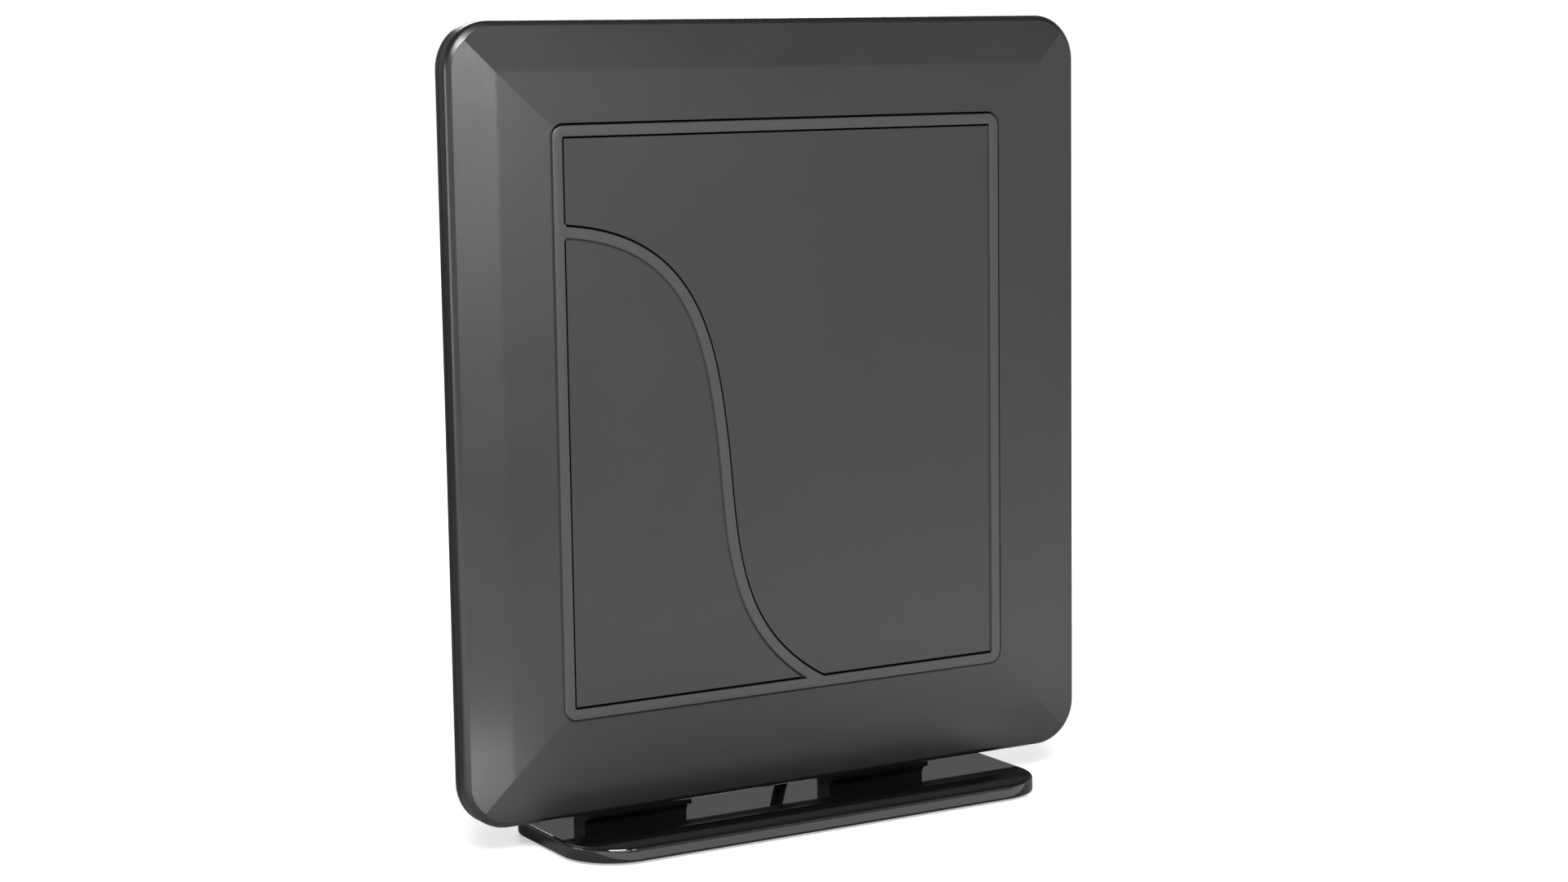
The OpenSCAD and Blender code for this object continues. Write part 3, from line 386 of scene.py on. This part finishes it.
def makeFrontShell(spec):
    loops, bevelRows = shellLoops(spec)
    rows, columns = loops.shape[:2]
    faces = [*gridFaces(rows, columns), *endCaps(rows, columns)]
    piece = addPiece("frontShell", standUp(loops.reshape(-1, 3), spec), faces, finishes["panel_shell"])
    mesh = piece.data
    # painted shade in the bead roots, full on walls that face right or up and fainter on the others as the light
    # falls, and a painted highlight on the tops
    shade = np.zeros(rows)
    shade[:2 * len(beadSection)] = [root for *_, root in beadSection + beadSection[::-1]]
    turn = cornerAngles(spec["cornerSteps"])
    facing = np.where((np.arange(rows) < len(beadSection))[:, None], -1, 1)  # the inner walls face inwards
    upwards = np.where(facing < 0, np.abs(np.sin(turn)), np.sin(turn))  # the painted shade is full on both inner end walls
    towards = np.maximum(np.maximum(facing * np.cos(turn), upwards), 0)
    shade = shade[:, None] * np.where(shade[:, None] > 0, spec["faintPaintedShade"] + (1 - spec["faintPaintedShade"]) * towards, 1)
    addPaintedLight(piece, shade.ravel())
    mesh.set_sharp_from_angle(angle=crease)
    # the mitres between neighbouring bevels stay crisp: edges that join corner middles from loop to loop
    ends = np.empty(2 * len(mesh.edges), int)
    mesh.edges.foreach_get("vertices", ends)
    row, column = np.divmod(ends.reshape(-1, 2), columns)
    half = spec["cornerSteps"] // 2
    middle = (column % (spec["cornerSteps"] + 1) == half).all(1) & (row[:, 0] != row[:, 1])
    onBevel = (row.min(1) >= bevelRows[0] - 1) & (row.max(1) <= bevelRows[1])
    sharp = np.zeros(len(mesh.edges), bool)
    mesh.attributes["sharp_edge"].data.foreach_get("value", sharp)
    mesh.attributes["sharp_edge"].data.foreach_set("value", sharp | (middle & onBevel))
    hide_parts("front_cover")
    points, faces, shade = curvedBead(spec)
    bead = addPiece("curvedBead", standUp(points, spec), faces, finishes["panel_shell"])
    addPaintedLight(bead, shade)
    bead.data.set_sharp_from_angle(angle=crease)
    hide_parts("front_cover")


makeFrontShell(shell)
print("front shell made")


base = {
    "halfWidth": 142, "halfDepth": 53, "cornerRadius": 30, "low": 1.5, "top": 9.2, "edgeRadius": 1.6, "wall": 2.4,
    "cornerSteps": 24, "edgeSteps": 8,
}


def makeBase(spec):
    # loops from the middle of the top outwards, round the top edge, down the wall and up inside to the ceiling
    edge, wall, top, low = spec["edgeRadius"], spec["wall"], spec["top"], spec["low"]
    turn = np.radians(np.linspace(90, 0, spec["edgeSteps"]))
    sections = [(edge + 8, top), (edge + 0.4, top)]
    sections += [(edge * (1 - math.cos(a)), top - edge + edge * math.sin(a)) for a in turn]
    sections += [(0, low + 0.4), (0.1, low + 0.1), (0.4, low), (wall, low), (wall, top - wall)]
    sections += [(wall + 5, top - wall)]
    loops = [np.column_stack([roundedLoop(spec["halfWidth"], spec["halfDepth"], spec["cornerRadius"],
                                          spec["cornerSteps"], inset), np.full(4 * (spec["cornerSteps"] + 1), z)])
             for inset, z in sections]
    rows, columns = len(loops), len(loops[0])
    faces = [*gridFaces(rows, columns), *endCaps(rows, columns)]
    piece = addPiece("baseShell", np.vstack(loops), faces, finishes["base_gloss"])
    piece.data.set_sharp_from_angle(angle=crease)
    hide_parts("base_cover")


makeBase(base)
print("base made")


lead = {
    "diameter": 6.9,
    "length": 1250,
    "sides": 18,
    "coilMiddle": (92, 119),
    "coilRadii": (44.9, 38.0, 31.1),
    "layerHeights": (3.45, 10.35),
    # free stretch from the strain relief down behind the stand to the coil
    "route": [
        (0, 13.2, 59.9), (0, 13.2, 56), (0.6, 13.8, 50), (3, 16.5, 42), (7, 21, 33), (12.5, 27.5, 25),
        (19.5, 35.5, 18.5), (27, 44, 14.3), (35, 52.5, 12.8), (43, 60.5, 11.4), (52, 66.8, 8.6),
        (60, 70.6, 6.2), (69, 73.3, 4.2), (76, 74.0, 3.7), (84, 74.1, 3.5),
    ],
    "tail": [
        (84, 163.9, 10.3), (76, 163.95, 9.75), (70, 164, 8.5), (66.5, 164, 7.6), (61, 164, 6.5),
        (57, 164, 6.0), (51, 164, 5.55), (47, 164, 5.5),
    ],
}


def coilPath(spec, perTurn=24):
    # circles whose radius and height shift by one diameter over a third of a turn, each shift a smooth step
    # 3 t^2 - 2 t^3 of the angle: inwards on the first layer, up, then outwards on the second
    outer, middle, inner = spec["coilRadii"]
    low, high = spec["layerHeights"]
    angles = np.arange(-90, 1530 + 1e-6, 360 / perTurn)

    def ease(start, stop):
        t = np.clip((angles - start) / (stop - start), 0, 1)
        return t ** 2 * (3 - 2 * t)

    radius = (outer + (middle - outer) * ease(150, 270) + (inner - middle) * ease(510, 630)
              + (middle - inner) * ease(1000, 1120) + (outer - middle) * ease(1360, 1480))
    height = low + (high - low) * ease(750, 875)
    turn = np.radians(angles)
    x0, y0 = spec["coilMiddle"]
    return np.stack([x0 + radius * np.cos(turn), y0 + radius * np.sin(turn), height], 1)


def smoothPath(points, steps=3):
    # Catmull-Rom curve through the points, evaluated as whole arrays
    p = np.vstack([2 * points[0] - points[1], points, 2 * points[-1] - points[-2]])
    t = np.linspace(0, 1, steps, endpoint=False)[None, :, None]
    a, b, c, d = (p[i:len(p) - 3 + i][:, None, :] for i in range(4))
    curve = 0.5 * (2 * b + (c - a) * t + (2 * a - 5 * b + 4 * c - d) * t ** 2 + (3 * b - a - 3 * c + d) * t ** 3)
    return np.vstack([curve.reshape(-1, 3), points[-1:]])


def tubeGrid(path, radius, sides):
    # circle carried along a path: each ring stands across the path's direction, with closed ends
    along = np.gradient(path, axis=0)
    along /= np.linalg.norm(along, axis=1, keepdims=True)
    guide = np.where(np.abs(along[:, 2:3]) > 0.9, [[0.656, 0.755, 0]], [[0, 0, 1]])
    side = np.cross(along, guide)
    side /= np.linalg.norm(side, axis=1, keepdims=True)
    other = np.cross(side, along)
    turn = np.linspace(0, 2 * np.pi, sides, endpoint=False)[None, :, None]
    radius = np.broadcast_to(np.asarray(radius, float), len(path))[:, None, None]
    rings = path[:, None, :] + radius * (np.cos(turn) * side[:, None, :] + np.sin(turn) * other[:, None, :])
    n = len(path)
    points = np.vstack([rings.reshape(-1, 3), path[:1], path[-1:]])
    ring = np.arange(sides)
    first = np.stack([(ring + 1) % sides, ring, np.full(sides, n * sides)], 1)
    start = (n - 1) * sides
    last = np.stack([ring + start, (ring + 1) % sides + start, np.full(sides, n * sides + 1)], 1)
    return points, [*gridFaces(n, sides), *first, *last]


def makeLead(spec):
    points = np.vstack([np.array(spec["route"], float), coilPath(spec), np.array(spec["tail"], float)])
    path = smoothPath(points)
    length = np.linalg.norm(np.diff(path, axis=0), axis=1).sum()
    print("lead length", round(length), "mm")
    grid, faces = tubeGrid(path, spec["diameter"] / 2, spec["sides"])
    piece = addPiece("lead", grid, faces, finishes["lead_jacket"])
    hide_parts("lead_tube", "lead_coil", "lead_tail")


screws = {
    "headDiameter": 5.6, "headHeight": 1.6, "shankDiameter": 2.6,
    "domeHeight": 0.35, "crossWidth": 0.95, "crossReach": 1.55, "crossDepth": 1.1,
    # node: places across and up, top of the heads and tips of the shanks along the depth
    "sets": {
        "cover_screws": ([(x, 219.2 + z) for x in (-168, 168) for z in (-183, 0, 183)]
                         + [(x, 219.2 + z) for x in (-60.16, 60.16) for z in (-183, 183)], 6.2, -5.6),
        "bracket_screws": ([(side * 75.5 + dx, z) for side in (-1, 1) for dx in (-19, 19)
                            for z in (111.2, 135.2)], 10.7, 0.5),
        "hub_screws": ([(-28, 163.2), (28, 115.2)], 21.2, 0.6),
    },
}


def crossHead(spec, sides=48):
    # rings over a domed head with a cross recess: the depth falls off past the arms' width and reach,
    # depth = crossDepth * inside(min(|x|, |y|), width / 2) * inside(max(|x|, |y|), reach)
    radii = np.array([0.12, 0.3, 0.45, 0.55, 0.75, 1.0, 1.25, 1.45, 1.65, 1.9, 2.3, 2.6])
    turn = np.linspace(0, 2 * np.pi, sides, endpoint=False)
    across, up = radii[:, None] * np.cos(turn), radii[:, None] * np.sin(turn)
    near, far = np.minimum(abs(across), abs(up)), np.maximum(abs(across), abs(up))
    inside = lambda value, edge: np.clip((edge + 0.12 - value) / 0.24, 0, 1)
    cut = spec["crossDepth"] * inside(near, spec["crossWidth"] / 2) * inside(far, spec["crossReach"])
    rim = spec["headDiameter"] / 2
    dome = -spec["domeHeight"] * (radii[:, None] / rim) ** 2
    return np.stack([across, up, dome - cut], -1)


def makeScrews(name, spots, top, tip, spec):
    head = crossHead(spec)
    sides = head.shape[1]
    turn = np.linspace(0, 2 * np.pi, sides, endpoint=False)
    circle = np.stack([np.cos(turn), np.sin(turn)], 1)
    rim, shank, low = spec["headDiameter"] / 2, spec["shankDiameter"] / 2, tip - top
    wall = [(rim, -spec["domeHeight"] - 0.12), (rim, -spec["headHeight"]), (shank, -spec["headHeight"]), (shank, low)]
    rings = [*head, *(np.column_stack([circle * radius, np.full(sides, depth)]) for radius, depth in wall)]
    one = np.vstack(rings)
    rows = len(rings)
    faces = gridFaces(rows, sides)
    points, allFaces = [], []
    for index, (x, z) in enumerate(spots):
        # across is turned round so that the heads face out of the back
        points.append(np.column_stack([x - one[:, 0], top + one[:, 2], z + one[:, 1]]))
        start = index * len(one)
        allFaces += [*(faces + start), *([start + corner for corner in cap] for cap in endCaps(rows, sides))]
    piece = addPiece(name.replace("_s", "S"), np.vstack(points), allFaces, finishes["screw_steel"])
    piece.data.set_sharp_from_angle(angle=math.radians(35))
    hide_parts(name)


for setName, (setSpots, setTop, setTip) in screws["sets"].items():
    makeScrews(setName, setSpots, setTop, setTip, screws)
print("screws made")

boot = {
    "length": 18, "smallRadius": 3.85, "bigRadius": 4.5, "ribs": 6, "grooveDepth": 0.55, "sides": 32,
    # node: foot of the boot and the way it points
    "places": {"lead_boot": ((0, 13.2, 59.9), (0, 0, 1)), "far_boot": ((47, 164, 5.5), (-1, 0, 0))},
}


def makeBoot(name, place, way, spec):
    # taper cut by rounded grooves: radius = taper - depth * max(0, sin) ** 0.5, plain at both ends
    along = np.linspace(0, 1, 6 * spec["ribs"] * 2 + 1)
    taper = spec["smallRadius"] + (spec["bigRadius"] - spec["smallRadius"]) * along
    wave = np.sin((along - 0.12) / 0.7 * spec["ribs"] * 2 * np.pi) * ((along > 0.12) & (along < 0.82))
    radius = taper - spec["grooveDepth"] * np.sqrt(np.clip(wave, 0, 1))
    path = np.array(place, float) + along[:, None] * spec["length"] * np.array(way, float)
    points, faces = tubeGrid(path, radius, spec["sides"])
    piece = addPiece(name.replace("_b", "B"), points, faces, finishes["lead_jacket"])
    piece.data.set_sharp_from_angle(angle=math.radians(60))
    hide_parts(name)
    return piece


boots = [makeBoot(name, place, way, boot) for name, (place, way) in boot["places"].items()]
print("boots made")

strap = {
    # the turns it goes round, where they pass on the left of the coil: distance from the coil's middle and height
    "turns": [(43.8, 3.45), (36.9, 3.45), (31.1, 10.35), (38.0, 10.35)],
    "inner": 3.5, "outer": 4.25, "overlap": 0.5, "overlapArc": (50, 130),
    "width": 9, "middle": (92, 119),
}


def makeStrap(spec):
    # closed band round the turns: a point of its outline is the turn that lies furthest out in that
    # direction, plus the offset; the loose end lies doubled on top
    angles = np.arange(0, 360, 5.0)
    way = np.stack([np.cos(np.radians(angles)), np.sin(np.radians(angles))], 1)
    turns = np.array(spec["turns"])
    reach = turns[(way @ turns.T).argmax(1)]
    start, stop = spec["overlapArc"]
    thick = spec["outer"] + spec["overlap"] * ((angles > start) & (angles < stop))
    inner, outer = reach + spec["inner"] * way, reach + thick[:, None] * way
    inner[:, 1], outer[:, 1] = np.maximum(inner[:, 1], 0.5), np.maximum(outer[:, 1], 0.02)
    x0, y0 = spec["middle"]
    half = spec["width"] / 2
    corners = ((inner, -half), (outer, -half), (outer, half), (inner, half), (inner, -half))
    loops = np.stack([np.column_stack([x0 - loop[:, 0], np.full(len(loop), y0 + side), loop[:, 1]])
                      for loop, side in corners])
    rows, columns = loops.shape[:2]
    faces = gridFaces(rows, columns)[:, ::-1] % ((rows - 1) * columns)
    piece = addPiece("leadTie", loops[:-1].reshape(-1, 3), faces, finishes["tie_black"], smooth=False)
    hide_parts("coil_tie")
    return piece


leadTie = makeStrap(strap)
makeLead(lead)
print("lead made")


studio = {
    "floorSize": 12.0,
    "floorTone": 0.91,  # how much light the white floor gives back
    "floorLift": 0.5,  # extra white that only the camera sees, so that the floor keeps the shadow
    # strength of the room over the sine of the elevation, in front of the set and behind it: the ceiling is dark
    "frontLevels": [(0.0, 0.9), (0.05, 0.8), (0.16, 0.18), (0.45, 0.08), (1.0, 0.06)],
    "backLevels": [(0.0, 0.22), (0.3, 0.26), (0.5, 0.06), (1.0, 0.04)],
    # the table as reflections see it, with painted shade: darker close by, behind the object, and far in front on the
    # left
    "tableShadeNear": (0.1, 0.4, 0.3, 1.0),  # two distances (m) and the levels there
    "tableShadeBehind": 0.15,
    "tableShadeLeft": (0.35, 0.9, 0.1),  # two places across (m) and the level on the left
    # lamp: place, target, width and height in metres, power in watts
    "lamps": {
        "keySoftbox": ((-0.9, -1.9, 1.9), (0, 0, 0.15), (1.4, 1.0), 82),
        "frontStrip": ((0.22, -2.1, 0.52), (0, 0, 0.38), (0.34, 0.3), 4.5),
        "leftFill": ((-2.4, 0.6, 0.3), (0, 0, 0.2), (1.0, 0.5), 7),
        "tableGlow": ((-0.16, -0.14, 0.004), (-0.16, 0.0, 0.08), (0.08, 0.05), 0.045),
        "backFill": ((0.9, 2.2, 1.7), (0, 0, 0.2), (1.4, 0.9), 34),
        "baseGlow": ((0, -0.067, 0.001), (0, -0.0665, 0.4), (0.36, 0.022), 0.018),
    },
}


def makeFloor(spec):
    # white plane: reflections see its level as painted shade, a product of falls over distance, depth and width; the
    # camera sees a glow on top that grows away from the object
    half = spec["floorSize"] / 2
    mesh = bpy.data.meshes.new("floor")
    mesh.from_pydata([(-half, -half, 0), (half, -half, 0), (half, half, 0), (-half, half, 0)], [], [(0, 1, 2, 3)])
    material, tree = startMaterial("whiteFloor")
    path = addNode(tree, "ShaderNodeLightPath")
    place = addNode(tree, "ShaderNodeTexCoord")
    away = addNode(tree, "ShaderNodeVectorMath", {"operation": "LENGTH"}, {0: place.outputs["Object"]})
    sides = addNode(tree, "ShaderNodeSeparateXYZ", links={0: place.outputs["Object"]})
    near, far, low, high = spec["tableShadeNear"]
    close = addNode(tree, "ShaderNodeMapRange", {"From Min": near, "From Max": far, "To Min": low, "To Max": high},
                    {"Value": away.outputs["Value"]})
    behind = addNode(tree, "ShaderNodeMapRange", {"From Min": -0.1, "From Max": 0.15, "To Min": 1.0,
                                                  "To Max": spec["tableShadeBehind"]}, {"Value": sides.outputs["Y"]})
    start, stop, low = spec["tableShadeLeft"]
    left = addNode(tree, "ShaderNodeMapRange", {"From Min": start, "From Max": stop, "To Min": low, "To Max": 1.0},
                   {"Value": sides.outputs["X"]})
    front = addNode(tree, "ShaderNodeMapRange", {"From Min": -1.0, "From Max": -0.45}, {"Value": sides.outputs["Y"]})
    lefts = addNode(tree, "ShaderNodeMath", {"operation": "MAXIMUM"}, {0: left.outputs[0], 1: front.outputs[0]})
    some = addNode(tree, "ShaderNodeMath", {"operation": "MULTIPLY"}, {0: close.outputs[0], 1: behind.outputs[0]})
    table = addNode(tree, "ShaderNodeMath", {"operation": "MULTIPLY"}, {0: some.outputs[0], 1: lefts.outputs[0]})
    tone = addNode(tree, "ShaderNodeMix", {"data_type": "FLOAT", "A": spec["floorTone"]},
                   {"Factor": path.outputs["Is Glossy Ray"]})
    tree.links.new(table.outputs[0], tone.inputs["B"])
    white = addNode(tree, "ShaderNodeBsdfDiffuse", links={"Color": tone.outputs["Result"]})
    lift = addNode(tree, "ShaderNodeMapRange", {"From Min": 0.45, "From Max": 1.4, "To Min": spec["floorLift"],
                                                "To Max": 1.0}, {"Value": away.outputs["Value"]})
    glow = addNode(tree, "ShaderNodeEmission", links={"Strength": lift.outputs["Result"]})
    none = addNode(tree, "ShaderNodeEmission", {"Strength": 0.0})
    direct = addNode(tree, "ShaderNodeMath", {"operation": "MAXIMUM"},
                     {0: path.outputs["Is Camera Ray"], 1: path.outputs["Is Transmission Ray"]})
    seen = addNode(tree, "ShaderNodeMixShader", links={0: direct.outputs[0], 1: none.outputs[0], 2: glow.outputs[0]})
    both = addNode(tree, "ShaderNodeAddShader", links={0: white.outputs[0], 1: seen.outputs[0]})
    closeMaterial(tree, both)
    mesh.materials.append(material)
    floor = bpy.data.objects.new("floor", mesh)
    bpy.context.scene.collection.objects.link(floor)


def makeWorld(spec):
    # white to the camera; to the object, a pale room that darkens towards the ceiling
    world = bpy.data.worlds.new("studio")
    bpy.context.scene.world = world
    world.use_nodes = True
    tree = world.node_tree
    tree.nodes.clear()
    place = addNode(tree, "ShaderNodeTexCoord")
    parts = addNode(tree, "ShaderNodeSeparateXYZ", links={0: place.outputs["Generated"]})
    levels = []
    for name in ("frontLevels", "backLevels"):
        level = addNode(tree, "ShaderNodeValToRGB", links={"Fac": parts.outputs["Z"]})
        stops = level.color_ramp.elements
        for index, (height, value) in enumerate(spec[name]):
            stop = stops[index] if index < 2 else stops.new(height)
            stop.position, stop.color = height, (value, value, value, 1)
        levels.append(level)
    behind = addNode(tree, "ShaderNodeMapRange", {"From Min": -0.3, "From Max": 0.2}, {"Value": parts.outputs["Y"]})
    strength = addNode(tree, "ShaderNodeMix", {"data_type": "RGBA"}, {"Factor": behind.outputs["Result"]})
    tree.links.new(levels[0].outputs["Color"], strength.inputs["A"])
    tree.links.new(levels[1].outputs["Color"], strength.inputs["B"])
    path = addNode(tree, "ShaderNodeLightPath")
    room = addNode(tree, "ShaderNodeBackground", {"Color": (1, 1, 1, 1)}, {"Strength": strength.outputs["Result"]})
    white = addNode(tree, "ShaderNodeBackground", {"Color": (1, 1, 1, 1), "Strength": 1.0})
    direct = addNode(tree, "ShaderNodeMath", {"operation": "MAXIMUM"},
                     {0: path.outputs["Is Camera Ray"], 1: path.outputs["Is Transmission Ray"]})
    mix = addNode(tree, "ShaderNodeMixShader", links={0: direct.outputs[0], 1: room.outputs[0], 2: white.outputs[0]})
    addNode(tree, "ShaderNodeOutputWorld", links={"Surface": mix.outputs[0]})


def addLamp(name, place, target, size, power):
    data = bpy.data.lights.new(name, "AREA")
    data.shape = "RECTANGLE"
    data.size, data.size_y = size
    data.energy = power
    lamp = bpy.data.objects.new(name, data)
    bpy.context.scene.collection.objects.link(lamp)
    back = np.array(place, float) - np.array(target, float)
    back /= np.linalg.norm(back)
    right = np.cross([0, 0, 1], back)
    right /= np.linalg.norm(right)
    up = np.cross(back, right)
    lamp.visible_diffuse = place[2] > 0.01  # the two low cards only mirror in the gloss
    lamp.visible_camera = False
    lamp.matrix_world = Matrix([[right[i], up[i], back[i], place[i]] for i in range(3)] + [[0, 0, 0, 1]])
    return lamp


makeFloor(studio)
makeWorld(studio)
for lampName, (lampPlace, lampTarget, lampSize, lampPower) in studio["lamps"].items():
    addLamp(lampName, lampPlace, lampTarget, lampSize, lampPower)
bpy.context.scene.view_settings.view_transform = "Standard"
print("studio set")
